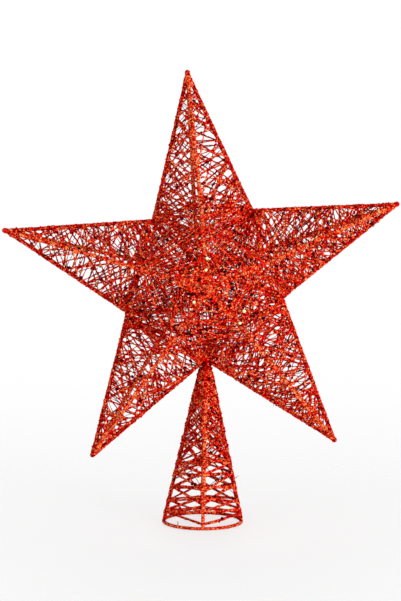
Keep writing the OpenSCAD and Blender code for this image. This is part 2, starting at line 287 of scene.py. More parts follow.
class Yarn:
    """Tubes and lumps gathered into one mesh, with a map that gives each its own room."""

    def __init__(self, seed):
        self.rng = default_rng(seed)
        self.co, self.quads, self.caps, self.slots, self.cap_slots = [], [], [], [], []
        self.strips = []
        self.count = 0

    def tube(self, path, radius, ref, slot=0, sides=THREAD_SIDES):
        """A closed tube along path. ref is the way that its first side faces.

        radius is one number, or one for each point, or one for each point and side."""
        n = len(path)
        radius = np.asarray(radius, float)
        if radius.ndim < 2:
            radius = np.broadcast_to(radius, n)[:, None]
        way = unit(np.gradient(path, axis=0))
        side = squared(np.broadcast_to(ref, way.shape), way)
        other = np.cross(way, side)
        angle = np.arange(sides) * math.tau / sides
        ring = (side[:, None] * np.cos(angle)[:, None] + other[:, None] * np.sin(angle)[:, None])
        co = path[:, None] + ring * radius[..., None]
        i, m = np.meshgrid(np.arange(n - 1), np.arange(sides), indexing="ij")
        after = (m + 1) % sides
        base = self.count
        quads = np.stack([base + i * sides + m, base + i * sides + after,
                          base + (i + 1) * sides + after, base + (i + 1) * sides + m], -1)
        self.co.append(co.reshape(-1, 3))
        self.quads.append(quads.reshape(-1, 4))
        self.slots.append(np.full((n - 1) * sides, slot))
        self.caps += [base + np.arange(sides)[::-1], base + (n - 1) * sides + np.arange(sides)]
        self.cap_slots += [slot, slot]
        step = np.linalg.norm(np.diff(path, axis=0), axis=1)
        self.strips.append((step, math.tau * radius.max(), sides))
        self.count += n * sides

    def repaint(self, lines, reach, slot, share):
        """Gives a slot to a share of the faces of the first two slots near any of the lines."""
        co = np.concatenate(self.co)
        quads = np.concatenate(self.quads)
        slots = np.concatenate(self.slots)
        near = off_lines(co[quads[:, 0]], lines)
        blocks = self.rng.random(len(near) // PAINT_BLOCK + 1).repeat(PAINT_BLOCK)[:len(near)]
        near = near < reach * (PAINT_LEAST + PAINT_RANGE * blocks)
        slots[near & (slots < 2) & (blocks < share)] = slot
        self.slots = [slots]

    def made(self, name, materials):
        co = np.concatenate(self.co)
        quads = np.concatenate(self.quads)
        slots = np.concatenate(self.slots + [np.array(self.cap_slots)])
        me = bpy.data.meshes.new(name)
        corners = np.concatenate([quads.ravel()] + self.caps)
        totals = np.concatenate([np.full(len(quads), 4), [len(c) for c in self.caps]])
        starts = np.concatenate([[0], np.cumsum(totals)[:-1]])
        me.vertices.add(len(co))
        me.vertices.foreach_set("co", co.astype(np.float32).ravel())
        me.loops.add(len(corners))
        me.loops.foreach_set("vertex_index", corners.astype(np.int32))
        me.polygons.add(len(totals))
        me.polygons.foreach_set("loop_start", starts.astype(np.int32))
        me.polygons.foreach_set("material_index", slots.astype(np.int32))
        me.polygons.foreach_set("use_smooth", np.ones(len(totals), bool))
        me.uv_layers.new(name="OFBake")
        me.uv_layers["OFBake"].uv.foreach_set("vector", self.map().astype(np.float32).ravel())
        for m in materials:
            me.materials.append(m)
        me.update(calc_edges=True)
        return bound(bpy.data.objects.new(name, me))

    def map(self):
        """Each tube is a strip, and the strips follow each other in rows on a square."""
        rows = max(c for _, c, _ in self.strips) * MAP_ROOM
        whole = sum(step.sum() for step, _, _ in self.strips)
        longest = max(step.max() for step, _, _ in self.strips)
        width = math.sqrt(whole * rows) + longest
        corners, ends, at = [], [], 0.0
        for step, around, sides in self.strips:
            begin = at + np.concatenate([[0], np.cumsum(step)[:-1]])
            row = np.floor(begin / width)
            u0 = begin - row * width
            u1 = u0 + step
            m = np.arange(sides)
            v0 = row[:, None] * rows + m * around / sides
            v1 = v0 + around / sides
            u0, u1 = (np.broadcast_to(u[:, None], v0.shape) for u in (u0, u1))
            quad = np.stack([u0, v0, u0, v1, u1, v1, u1, v0], -1).reshape(-1, 4, 2)
            corners.append(quad.reshape(-1, 2))
            ends += [quad[:sides, 0], quad[-sides:, 3]]
            at += step.sum()
        uv = np.concatenate(corners + ends)
        return uv / max(uv[:, 0].max(), uv[:, 1].max()) * (1 - 2 * MAP_EDGE) + MAP_EDGE


def bound(obj):
    bpy.context.scene.collection.objects.link(obj)
    return obj


def piece(yarn, name, materials, replaces=()):
    """The finished mesh of a piece, with its body and the nodes that it replaces."""
    obj = yarn.made(name, materials)
    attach(obj, "root")
    if replaces:
        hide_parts(*replaces)


def rounded(contacts, ways, clear):
    """Two points at each contact that carry a thread round its wire at the distance clear."""
    back = squared(contacts[:-2] - contacts[1:-1], ways[1:-1])
    on = squared(contacts[2:] - contacts[1:-1], ways[1:-1])
    out = -unit(back + on)
    side = on - back
    u_turn = np.linalg.norm(side, axis=1) < U_TURN
    side[u_turn] = np.cross(ways[1:-1], out)[u_turn]
    side = unit(side)
    quarter = (math.pi - np.arccos(np.clip(np.sum(back * on, -1), -1, 1)))[:, None] / 4
    reach = clear[1:-1, None] / np.cos(quarter)
    first = contacts[1:-1] + reach * (out * np.cos(quarter) - side * np.sin(quarter))
    second = contacts[1:-1] + reach * (out * np.cos(quarter) + side * np.sin(quarter))
    return np.stack([first, second], 1).reshape(-1, 3)


def strung(rng, points, slack=SLACK):
    """A thread through points: nearly straight between them, with a little slack."""
    out = []
    for a, b in zip(points[:-1], points[1:]):
        span = np.linalg.norm(b - a)
        n = max(1, round(span / THREAD_STEP))
        t = np.arange(n)[:, None] / n
        run = mix(a, b, t)
        if n > SHORT_SPAN:
            across = rng.normal(size=(2, 3)) * slack * span * 0.5
            run = run + np.sin(math.pi * t) * across[0] + np.sin(math.tau * t) * across[1] * 0.5
            run[1:] += rng.normal(size=(n - 1, 3)) * WOBBLE
        out.append(run)
    out.append(points[-1:])
    return np.concatenate(out)


def yarn_radius(rng, n, r):
    """Glitter makes a thread uneven: thick and thin along it, and lumpy round it."""
    at = np.arange(0, n + SWELL_POINTS + 1, SWELL_POINTS)
    slow = np.interp(np.arange(n), at, rng.normal(size=len(at)))
    return r * np.clip(1 + SWELL * slow[:, None] + ROUGHNESS * rng.normal(size=(n, THREAD_SIDES)),
                       THINNEST, THICKEST)


def wind(yarn, contacts, ways, clear, ref, r, slot, slack=SLACK):
    """Winds a thread round the wires it meets, and returns its straight spans."""
    points = rounded(contacts, ways, clear)
    path = strung(yarn.rng, points, slack=slack)
    yarn.tube(path, yarn_radius(yarn.rng, len(path), r), ref, slot)
    return points[1:-1].reshape(-1, 2, 3)


def sorted_by_facet(facets, order, spans):
    """Adds each span of a thread to those of its facet, which two wires bound."""
    for i, span in enumerate(spans):
        facets.setdefault(frozenset(order[i + 1:i + 3].tolist()), []).append(span)


# A loose end of thread: thickness, curl as a share of its length, taper, and points
STRAY_R = 0.3 * MM
STRAY_CURL = 0.35
STRAY_TAPER = 0.5
STRAY_POINTS = 8
# Rings of a knot and of a small clot, which are also their sides, their least share of
# thickness, and how uneven they are
KNOT_RINGS, CLOT_RINGS = 7, 5
KNOT_END, CLOT_END = 0.05, 0.06
KNOT_UNEVEN, CLOT_UNEVEN = 0.1, 0.12
# Sizes of the knots in millimetres, and how far they keep from a wire
KNOT_SIZES = (0.8, 1.15)
KNOT_CLEAR = 2.6 * MM
# How far clots keep from the wires that stay clean, and places tried for each
CLEAN_CLEAR = 2.4 * MM
CLOT_TRIES = 8


def stray(yarn, start, way, length):
    """A loose end of thread that curls away from where it was tied off."""
    t = np.linspace(0, 1, STRAY_POINTS)[:, None]
    curl = squared(yarn.rng.normal(size=3), way)
    path = start + way * length * t + curl * length * STRAY_CURL * t ** 2
    yarn.tube(path, STRAY_R * (1 - STRAY_TAPER * t[:, 0]), unit(np.cross(way, curl)))


def lump(yarn, centre, r, slot=0, rings=KNOT_RINGS):
    """A knot: a short fat tube, round at both ends."""
    rng = yarn.rng
    way = unit(rng.normal(size=3))
    t = np.linspace(-1, 1, rings)
    path = centre + way * (t * r)[:, None]
    radius = (r * np.sqrt(np.clip(1 - t ** 2, KNOT_END, 1))
              * (1 + KNOT_UNEVEN * rng.normal(size=rings)))
    yarn.tube(path, radius, squared(rng.normal(size=3), way), slot, sides=rings)


def knots_on(yarn, count, keep, out=0.8):
    """Dark knots that stand out of the threads by a share of their radius, in front of them
    or behind them, and none on the lines of keep."""
    rng = yarn.rng
    places = np.concatenate(yarn.co)
    places = places[off_lines(places, keep) > KNOT_CLEAR]
    for p in places[rng.integers(len(places), size=count)]:
        r = rng.uniform(*KNOT_SIZES) * MM
        lump(yarn, p + np.array([0, math.copysign(out * r, p[1]), 0]), r, slot=KNOT)


def off_lines(points, lines):
    """Distance of each point from the nearest of the lines, or no limit without lines."""
    near = np.full(len(points), np.inf)
    for a, b in lines:
        t = np.clip((points - a) @ (b - a) / ((b - a) @ (b - a)), 0, 1)
        near = np.minimum(near, np.linalg.norm(points - a - t[:, None] * (b - a), axis=1))
    return near


def crumbs_on(yarn, count, lines, reach, least, sizes=(0.45, 0.85), clean=()):
    """Clots of glitter on the threads, mostly within reach of the lines, and none on the
    clean ones. Farther off, least is the share of them that is left."""
    rng = yarn.rng
    places = np.concatenate(yarn.co)
    places = places[rng.integers(len(places), size=CLOT_TRIES * count)]
    places = places[off_lines(places, clean) > CLEAN_CLEAR]
    wanted = least + (1 - least) * np.exp(-(off_lines(places, lines) / reach) ** 2)
    places = places[rng.random(len(places)) < wanted][:count]
    for p in places:
        lump(yarn, p, rng.uniform(*sizes) * MM, slot=int(rng.integers(2)), rings=CLOT_RINGS)


# Share at either end of a span on which a crossing doesn't count
CROSSING_EDGE = 0.04


def crossings(a, b):
    """Where the spans from a to b, which lie on one facet, cross; and the way between the two."""
    run = b - a
    across = np.linalg.svd(np.concatenate([run, a - a.mean(0)]), full_matrices=False)[2][2]
    first, second = np.triu_indices(len(a), 1)
    turn = np.cross(run[first], run[second]) @ across
    gap = a[second] - a[first]
    with np.errstate(divide="ignore", invalid="ignore"):
        t = np.cross(gap, run[second]) @ across / turn
        u = np.cross(gap, run[first]) @ across / turn
    met = (np.minimum(t, u) > CROSSING_EDGE) & (np.maximum(t, u) < 1 - CROSSING_EDGE)
    first, second, t = first[met], second[met], t[met]
    one, other = unit(run[first]), unit(run[second])
    other = other * np.where(np.sum(one * other, -1) < 0, -1, 1)[:, None]
    return a[first] + run[first] * t[:, None], unit(one + other), np.sum(one * other, -1)


# Length of a clot at a crossing for its thickness, and how much a square crossing counts
# beside a sharp one
CLOT_STRETCH = 1.7
SQUARE_WEIGHT = 0.15


def clots_at(yarn, spans, count, sizes):
    """Clots of glue and glitter that fill the sharp corners where the spans cross."""
    rng = yarn.rng
    places, ways, cosine = crossings(*np.array(spans).transpose(1, 0, 2))
    keen = (SQUARE_WEIGHT + cosine) ** 2
    t = np.linspace(-1, 1, CLOT_RINGS)
    for i in rng.choice(len(places), size=min(count, len(places)), replace=False,
                        p=keen / keen.sum()):
        r = rng.uniform(*sizes) * MM
        path = places[i] + ways[i] * (t * CLOT_STRETCH * r)[:, None]
        radius = (r * np.sqrt(np.clip(1 - t ** 2, CLOT_END, 1))
                  * (1 + CLOT_UNEVEN * rng.normal(size=CLOT_RINGS)))
        yarn.tube(path, radius, squared(rng.normal(size=3), ways[i]), int(rng.integers(2)))


# Wires wrapped in glittered thread

def wrap(seed, a, b, past, r, bumps=WRAP_BUMPS):
    """Thread wound tight on a wire from a to b, with slow bumps and closed ends.

    past is how far it passes a and b, and less than nothing where it falls short of one."""
    yarn = Yarn(seed)
    rng = yarn.rng
    run = unit(b - a)
    a, b = a - run * past[0], b + run * past[1]
    length = np.linalg.norm(b - a)
    n = int(length / WRAP_STEP)
    s = np.linspace(0, length, n)
    ref = squared(np.array([0.3, 0.9, 0.31]), unit(b - a))
    angle = np.arange(WRAP_SIDES) * math.tau / WRAP_SIDES
    rib = WRAP_RIB * np.cos(math.tau * s[:, None] / WRAP_PITCH - angle)
    places = np.arange(0, length + 2 * WRAP_BUMP_STEP, WRAP_BUMP_STEP)
    slow = np.interp(s, places, rng.normal(size=len(places)) * bumps)
    rough = rng.normal(size=(n, WRAP_SIDES)) * WRAP_ROUGH
    ends = np.clip(np.minimum(s, length - s) / WRAP_CLOSE, WRAP_END, 1) ** 0.5
    radius = (r + rib + slow[:, None] + rough) * ends[:, None]
    radius = np.maximum(radius, (WIRE_R + WRAP_COVER) * ends[:, None])
    yarn.tube(mix(a, b, (s / length)[:, None]), radius, ref, sides=WRAP_SIDES)
    return yarn


def arm_wires(k):
    """The four wires of an arm in winding order: far ends at the share 1 of the arm."""
    left, right = CORNERS[k], CORNERS[k - 1]
    front, back = (mix(TIPS[k], PEAKS[f], ARM_SHARE) for f in FACES)
    return [(TIPS[k], left), (TIPS[k], front), (TIPS[k], right), (TIPS[k], back)]


def contacts_on(wires, order, shares):
    """Places at the shares of the wires that a thread meets in that order, and their ways."""
    a = np.array([wires[j][0] for j in order])
    b = np.array([wires[j][1] for j in order])
    return mix(a, b, shares[:, None]), unit(b - a)


def there_and_back(count, sweeps, low, high):
    """Even steps from low to high and back, over and over."""
    t = np.linspace(0, sweeps, count)
    fold = 1 - np.abs(t % 2 - 1)
    return low + (high - low) * fold


def within(values, low, high):
    """Values past an end are turned back from it."""
    fold = np.abs((values - low) % (2 * (high - low)))
    return low + np.minimum(fold, 2 * (high - low) - fold)


# Places across a facet at which spans are compared, and tries for each contact
ACROSS = np.linspace(0.06, 0.94, 9)
TRIES = 10


def spread(rng, taken, order, even, lean, low, top):
    """Where a thread meets its wires: of some tries near each even place, the one whose span
    keeps farthest from the spans that its facet has already."""
    at = [even[0]]
    for i in range(1, len(order)):
        near = within(even[i] + lean[i] * rng.uniform(-1, 1, TRIES), low, top[i])
        last = np.full(TRIES, at[-1])
        first, second = (last, near) if order[i - 1] < order[i] else (near, last)
        spans = mix(first[:, None], second[:, None], ACROSS)
        others = taken.setdefault(frozenset(order[i - 1:i + 1].tolist()), [])
        gaps = (np.abs(spans[:, None] - np.array(others)).min(1).mean(1) if others
                else np.zeros(TRIES))
        best = gaps.argmax()
        others.append(spans[best])
        at.append(near[best])
    return np.array(at)


# How far off its wire a thread lies for its thickness: mostly, on the star's outline, and on
# the cone's sides; and depths of the layers
PRESSED, ON_OUTLINE, ON_SIDES = 0.7, 0.2, 0.3
CONE_LAYERS = 0.35 * MM
ARM_LAYERS = 0.6 * MM


def against(rng, count, r, layers):
    """How far from a wire's middle a thread lies as it turns there, on layer after layer."""
    return WIRE_R + PRESSED * r + layers * rng.random(count)


# Places on an arm are shares of its wires: 0 at the tip, 1 at the corners and the ridges' ends

ALL_WIRES, LEFT_WIRES, RIGHT_WIRES = (0, 1, 2, 3), (1, 0, 3, 0), (1, 2, 3, 2)
# The thicker strands of the arms, of threads that clotted together
STRAND_R = 0.50 * MM
# Loops of each arm's crossing threads; more of them on its left and right side; and more at
# its wide end
CROSS_LOOPS = [29, 24, 31, 40, 38]
SIDE_LOOPS = [(1, 0), (0, 3), (1, 0), (0, 6), (0, 9)]
BASE_LOOPS = [6, 6, 5, 4, 4]
# The crossing threads: share of the loops, material and thickness of each
CROSS_THREADS = ((0.4, PLAIN, STRAND_R), (0.3, LIT, STRAND_R), (0.3, PLAIN, THREAD_R))
# Sweeps along the arm of the crossing threads, and of the others
CROSS_SWEEPS = 3
SWEEPS = 2
# Share of the arm between which the middles of each kind of thread lie
CROSS_REACH = (0.13, 1.08)
SIDE_REACH = (0.10, 0.97)
BASE_REACH = (0.62, 1.02)
FINE_REACH = (0.09, 0.98)
# Least place of a net's thread, and its greatest on an outline wire and on a ridge
NET_LOW = 0.05
OUTLINE_END = 0.985
RIDGE_END = 1.3
# How far from an even place a net's thread may lie, at the tip and for each share past it
LEAN_AT_TIP = 0.03
NET_LEAN = 0.30
# The tip's solid winding
TIP_LOOPS = 12
TIP_REACH = (0.018, 0.075)
TIP_LEAST = 0.014
TIP_SPREAD = 0.003
# Greatest place of a loop that ends at the inner corners
CORNER_END = 0.99
# Loops that end there and fan out over the centre
FAN_LOOPS = 11
FAN_WIDTH = 0.26
FAN_ON_RIDGE = 1.18
FAN_LEANS = (0.03, 0.28)
FAN_LOW = 0.6
FAN_FAR = 1.42
# The band on the line from corner to corner
BAND_LOOPS = 3
BAND_AT = 0.975
BAND_SPREAD = 0.010
FINE_LOOPS = 9
# Clots at the crossings of each facet, on the ridges and in the valleys, and knots of each arm
ARM_CLOTS, ARM_CLOT_SIZES = 380, (0.55, 1.05)
RIDGE_CRUMBS, VALLEY_CRUMBS = 300, 260
ARM_KNOTS = 30
# Share of a ridge, from its tip, from which clots gather on it
RIDGE_FROM = 0.18
# Loose ends of each arm, their places on its wires, and lengths in millimetres
ARM_STRAYS, STRAY_PLACES, STRAY_LENGTHS = 2, (0.3, 0.9), (2, 3)


def arm_threads(k):
    yarn = Yarn(ARM_SEEDS[k])
    rng = yarn.rng
    wires = arm_wires(k)
    outlines = [wires[0], wires[2]]
    axis = unit((CORNERS[k] + CORNERS[k - 1]) / 2 - TIPS[k])
    facets, taken = {}, {}

    def wound(order, shares, slot, r=THREAD_R, slack=SLACK):
        contacts, ways = contacts_on(wires, order, shares)
        clear = np.where(order % 2 == 0, WIRE_R + ON_OUTLINE * r,
                         against(rng, len(order), r, ARM_LAYERS))
        sorted_by_facet(facets, order,
                        wind(yarn, contacts, ways, clear, axis, r, slot, slack=slack))

    def net(loops, sweeps, reach, slot, r=THREAD_R, order=ALL_WIRES, far=RIDGE_END):
        order = np.resize(order, 4 * loops)
        even = there_and_back(4 * loops, sweeps, *reach)
        wound(order, spread(rng, taken, order, even, LEAN_AT_TIP + NET_LEAN * even, NET_LOW,
                            np.where(order % 2 == 0, OUTLINE_END, far)), slot, r=r)

    # threads that cross each other as they climb and fall along the arm
    for part, slot, r in CROSS_THREADS:
        net(int(CROSS_LOOPS[k] * part), CROSS_SWEEPS, CROSS_REACH, slot, r=r)
    # more of them on one side
    for loops, order in zip(SIDE_LOOPS[k], (LEFT_WIRES, RIGHT_WIRES)):
        if loops:
            net(loops, SWEEPS, SIDE_REACH, PLAIN, order=order, far=OUTLINE_END)
    # the tip is wound solid
    count = 4 * TIP_LOOPS
    s = there_and_back(count, SWEEPS, *TIP_REACH) + rng.normal(size=count) * TIP_SPREAD
    wound(np.arange(count) % 4, np.maximum(s, TIP_LEAST), LIT, slack=0)
    # the wide end of the arm takes a few more
    net(BASE_LOOPS[k], SWEEPS, BASE_REACH, LIT)
    # loops that end at the inner corners and fan out over the centre
    order = np.resize(ALL_WIRES, 4 * FAN_LOOPS)
    outline = order % 2 == 0
    even = np.where(outline, CORNER_END - FAN_WIDTH * rng.random(len(order)) ** 1.5,
                    FAN_ON_RIDGE)
    wound(order, spread(rng, taken, order, even, np.where(outline, *FAN_LEANS), FAN_LOW,
                        np.where(outline, OUTLINE_END, FAN_FAR)), PLAIN)
    # the band on the line from corner to corner
    count = 4 * BAND_LOOPS
    wound(np.arange(count) % 4,
          np.minimum(BAND_AT + rng.normal(size=count) * BAND_SPREAD, CORNER_END), PLAIN)
    # thin dark thread in long slants: partly real thread, partly painted shade along the gaps
    net(FINE_LOOPS, SWEEPS, FINE_REACH, FINE, r=FINE_R, far=FINE_REACH[1])
    for spans in facets.values():
        clots_at(yarn, spans, ARM_CLOTS, ARM_CLOT_SIZES)
    ridges = [(TIPS[k], PEAKS[face]) for face in FACES]
    crumbs_on(yarn, RIDGE_CRUMBS, [(mix(a, b, RIDGE_FROM), b) for a, b in ridges],
              reach=4 * MM, least=0.08, clean=outlines)
    valleys = [(c, mix(c, PEAKS[face], 0.5)) for _, c in outlines for face in FACES]
    crumbs_on(yarn, VALLEY_CRUMBS, valleys, reach=7 * MM, least=0, sizes=(0.5, 0.9),
              clean=outlines)
    knots_on(yarn, ARM_KNOTS, out=0.9, keep=wires)
    for _ in range(ARM_STRAYS):
        p = mix(*wires[rng.integers(4)], rng.uniform(*STRAY_PLACES))
        stray(yarn, p, unit(p - mix(TIPS[k], CENTRE, 0.5) + rng.normal(size=3) * 0.01),
              rng.uniform(*STRAY_LENGTHS) * MM)
    # the front ridge's threads take the painted highlight
    yarn.repaint(ridges[:1], reach=2.2 * MM, slot=HIGHLIGHT, share=0.8)
    piece(yarn, f"arm_threads_{k + 1}",
          [arm_red, arm_bright, fine_dark, knot_black, ridge_highlight],
          [f"arm_winding_{k + 1}"])


# The net in a valley: contacts, their distances from the peak on a ridge in millimetres, their
# shares of the valley from its corner, and the slack of its thread
VALLEY_CONTACTS = 20
VALLEY_ON_RIDGE = (20, 62)
VALLEY_FROM, VALLEY_WIDTH = 0.01, 0.55
VALLEY_LAYERS = 0.8
VALLEY_SLACK = 0.03


def valley_net(yarn, k, face):
    """Thread to and fro between two ridges, caught in the valley that runs to corner k."""
    rng = yarn.rng
    ridges = [(PEAKS[face], TIPS[k]), (PEAKS[face], TIPS[(k + 1) % 5])]
    points = []
    for i in range(VALLEY_CONTACTS):
        if i % 2 == 0:
            a, b = ridges[(i // 2) % 2]
            points.append(mix(a, b, rng.uniform(*VALLEY_ON_RIDGE) * MM / STAR_R))
        else:
            points.append(mix(CORNERS[k], PEAKS[face],
                              VALLEY_FROM + VALLEY_WIDTH * rng.random() ** 1.5))
    high_by = WIRE_R + rng.random((VALLEY_CONTACTS, 1)) * VALLEY_LAYERS * MM
    path = strung(rng, np.array(points) + OUTWARD[face] * high_by, slack=VALLEY_SLACK)
    yarn.tube(path, yarn_radius(rng, len(path), THREAD_R), OUTWARD[face] + TURNED)


# The web's threads: loops, sweeps, least and greatest distance from the peak in millimetres,
# material and thickness
WEB_THREADS = ((12, 4, 3, 42, PLAIN, THREAD_R), (7, 4, 3, 38, LIT, THREAD_R),
               (9, 2, 4, 42, FINE, FINE_R))
# How far from an even place a thread of the web may lie, as a share of a ridge
WEB_LEAN = 0.15
# Distances from the peak at which it turns back, the far one drawn from a range
WEB_LOW = 2.6
WEB_TOP = (34, 48)
# Half the length of a thread that lies on a ridge, and the depth of the layers there
WEB_ON_RIDGE = 0.7 * MM
WEB_LAYERS = 0.9 * MM
# Lumps at each inner corner: their share of the way to the peak and distance off it, and sizes
CORNER_LUMPS = 26
LUMP_REACH, LUMP_OFF = 0.22, 1.6
LUMP_SIZES = (0.6, 1.0)
# Clots at the crossings of each facet and on the ridges, and knots of each web
WEB_CLOTS, WEB_CLOT_SIZES = 200, (0.5, 0.95)
WEB_CRUMBS, WEB_CRUMB_SIZES = {"front": 700, "back": 500}, (0.4, 0.75)
WEB_KNOTS = 76
# Share of a ridge, from its peak, that lies on the web
WEB_SHARE = 0.42


def web_threads(face):
    yarn = Yarn(WEB_SEEDS[face])
    rng = yarn.rng
    peak, outward = PEAKS[face], OUTWARD[face]
    wires = [(peak, TIPS[k]) for k in ARMS]
    lifts = [squared(outward, unit(TIPS[k] - peak)) for k in ARMS]
    facets, taken = {}, {}

    def spiral(loops, sweeps, low, high, slot, r):
        count = 5 * loops
        order = np.arange(count) % 5
        even = there_and_back(count, sweeps, low * MM, high * MM) / STAR_R
        rho = spread(rng, taken, order, even, np.full(count, WEB_LEAN), WEB_LOW * MM / STAR_R,
                     rng.uniform(*WEB_TOP, count) * MM / STAR_R)
        contacts, _ = contacts_on(wires, order, rho)
        along = unit(np.gradient(contacts, axis=0)) * WEB_ON_RIDGE
        lift = np.array([lifts[j] for j in order])
        over = contacts + lift * against(rng, count, r, WEB_LAYERS)[:, None]
        points = np.stack([over - along, over + along], 1).reshape(-1, 3)
        path = strung(rng, points)
        yarn.tube(path, yarn_radius(rng, len(path), r), outward + TURNED, slot)
        sorted_by_facet(facets, np.concatenate([order[:1], order]),
                        points[1:-1].reshape(-1, 2, 3))

    for thread in WEB_THREADS:
        spiral(*thread)
    for k in ARMS:
        valley_net(yarn, k, face)
        for _ in range(CORNER_LUMPS):
            near = CORNERS[k] + (peak - CORNERS[k]) * LUMP_REACH * rng.random()
            off = squared(rng.normal(size=3), outward) * LUMP_OFF * MM
            lump(yarn, near + off, rng.uniform(*LUMP_SIZES) * MM,
                 slot=int(rng.integers(2)), rings=CLOT_RINGS)
    for spans in facets.values():
        clots_at(yarn, spans, WEB_CLOTS, WEB_CLOT_SIZES)
    lines = [(peak, mix(peak, TIPS[k], WEB_SHARE)) for k in ARMS]
    crumbs_on(yarn, WEB_CRUMBS[face], lines, reach=9 * MM, least=0.7, sizes=WEB_CRUMB_SIZES)
    knots_on(yarn, WEB_KNOTS, out=1.1, keep=wires)
    # painted highlight along the ridges near the peak
    yarn.repaint(lines, reach=2.0 * MM, slot=HIGHLIGHT, share=0.6)
    piece(yarn, f"{face}_web_threads",
          [web_red, web_bright, fine_dark, knot_black, ridge_highlight],
          [f"{face}_web"])


# Pale dots, small lumps painted pale gold, in millimetres to the right of the front peak and above
# it; how far they stand off the web, their sizes and rings
PALE_DOTS = [(-1.3, 18.8), (-2.1, 11.6), (-9.4, -8.4), (22.3, -15.0), (19.8, -22.5)]
PALE_DOT_OFF = 2.8
PALE_DOT_SIZES = (0.95, 1.15)
PALE_DOT_RINGS = 9


def front_of_web(x, z):
    """The place on the front web that is x to the right of the peak and z above it."""
    steep = []
    for k in ARMS:
        out = unit(np.cross(TIPS[k] - PEAKS["front"], TIPS[k - 1] - PEAKS["front"]))
        steep.append((out[0] * x + out[2] * z) / -out[1])
    return PEAKS["front"] + np.array([x, max(steep), z])


def pale_dots():
    yarn = Yarn(PALE_DOT_SEED)
    for x, z in PALE_DOTS:
        place = front_of_web(x * MM, z * MM) - np.array([0, PALE_DOT_OFF, 0]) * MM
        lump(yarn, place, yarn.rng.uniform(*PALE_DOT_SIZES) * MM, rings=PALE_DOT_RINGS)
    piece(yarn, "pale_dots", [pale_gold])


# The cone's threads, nearly solid under the neck: loops, sweeps, least and greatest height,
# slants, material, height at which they turn back, and thickness; heights in millimetres
CONE_THREADS = ((26, 6, 76, 99, (0.5, 6), PLAIN, 66, THREAD_R),
                (16, 4, 72, 99, (0.5, 6), LIT, 64, THREAD_R),
                (21, 5, 42, 80, (3, 10), PLAIN, 36, STRAND_R * 1.15),
                (5, 3, 28, 50, (3, 8), LIT, 22, STRAND_R))
CONE_FINE_THREAD = (7, 2, 16, 92, (3, 12), FINE, 3.6, FINE_R)
CONE_TOP = 101
CONE_UNEVEN = 0.7
# Strands that cross with lens-shaped gaps between them: heights, slants, threads in each and
# their contacts, how unevenly they lie, and their limits, in millimetres
BUNDLE_HEIGHTS = np.arange(5.0, 44, 3.9)
BUNDLE_SLANTS = (1.6, 4.4)
BUNDLE_THREADS = (4, 7)
BUNDLE_CONTACTS = 7
BUNDLE_UNEVEN = 0.5
BUNDLE_LIMITS = (3.2, 60)
# Clots at the crossings of each facet and on the front, and knots of the cone
CONE_CLOTS, CONE_CLOT_SIZES = 220, (0.5, 0.95)
CONE_CRUMBS = 460
CONE_KNOTS = 34
# Share of an upright from which the neck's binding covers it
BOUND_FROM = 0.84


def upright_share(z):
    return (z - WIRE_R) / (NECK_H - WIRE_R)


def cone_threads():
    yarn = Yarn(CONE_SEED)
    rng = yarn.rng
    wires = list(UPRIGHTS.values())
    facets = {}

    def around(z, slot, r, start=0):
        order = (np.arange(len(z)) + start) % 4
        contacts, ways = contacts_on(wires, order, upright_share(z))
        clear = np.where(order % 2 == 1, WIRE_R + ON_SIDES * r,
                         against(rng, len(z), r, CONE_LAYERS))
        sorted_by_facet(facets, order, wind(yarn, contacts, ways, clear, UP, r, slot))

    def slanted(rising, count, start):
        """Heights over and under the middle by turns: on the front and back wires, or not."""
        return np.where((np.arange(count) + start) % 2 == 0, rising, -rising)

    def sweep(loops, sweeps, low, high, slants, slot, floor, r):
        count = 4 * loops
        each = np.floor(np.linspace(0, sweeps, count, endpoint=False)).astype(int)
        rising = (rng.uniform(*slants, size=sweeps) * np.resize((1, -1), sweeps))[each]
        z = there_and_back(count, sweeps, low, high) + slanted(rising, count, 0)
        z = within(z + rng.normal(size=count) * CONE_UNEVEN, floor, CONE_TOP)
        around(z * MM, slot, r)

    def uneven():
        return rng.normal(size=BUNDLE_CONTACTS) * BUNDLE_UNEVEN

    for thread in CONE_THREADS:
        sweep(*thread)
    for i, height in enumerate(BUNDLE_HEIGHTS):
        start = rng.integers(4)
        rising = rng.uniform(*BUNDLE_SLANTS) * (1 if i % 2 else -1)
        base = height + slanted(rising, BUNDLE_CONTACTS, start) + uneven()
        for _ in range(rng.integers(*BUNDLE_THREADS)):
            around(np.clip(base + uneven(), *BUNDLE_LIMITS) * MM, int(rng.integers(2)),
                   BUNDLE_THREAD_R, start=start)
    sweep(*CONE_FINE_THREAD)
    for spans in facets.values():
        clots_at(yarn, spans, CONE_CLOTS, CONE_CLOT_SIZES)
    crumbs_on(yarn, CONE_CRUMBS,
              [UPRIGHTS["front"], (NECK - UP * 14 * MM, NECK - UP * 42 * MM)],
              reach=7 * MM, least=0.25, clean=[UPRIGHTS["left"], UPRIGHTS["right"]])
    knots_on(yarn, CONE_KNOTS, keep=wires)
    # a loose end on the right upright, and one at the ring
    stray(yarn, mix(*UPRIGHTS["right"], upright_share(28 * MM)),
          np.array([0.94, -0.2, 0.25]), 4 * MM)
    stray(yarn, np.array([-17.4, -17.4, 2]) * MM, np.array([0.2, -0.4, 0.89]), 3.5 * MM)
    # the threads on the bare front upright take its painted highlight
    foot, head = UPRIGHTS["front"]
    bare = (foot, mix(foot, head, BOUND_FROM))
    yarn.repaint([bare], reach=2.0 * MM, slot=HIGHLIGHT, share=0.7)
    piece(yarn, "cone_threads",
          [arm_red, arm_bright, fine_dark, knot_black, upright_highlight],
          ["cone_winding"])


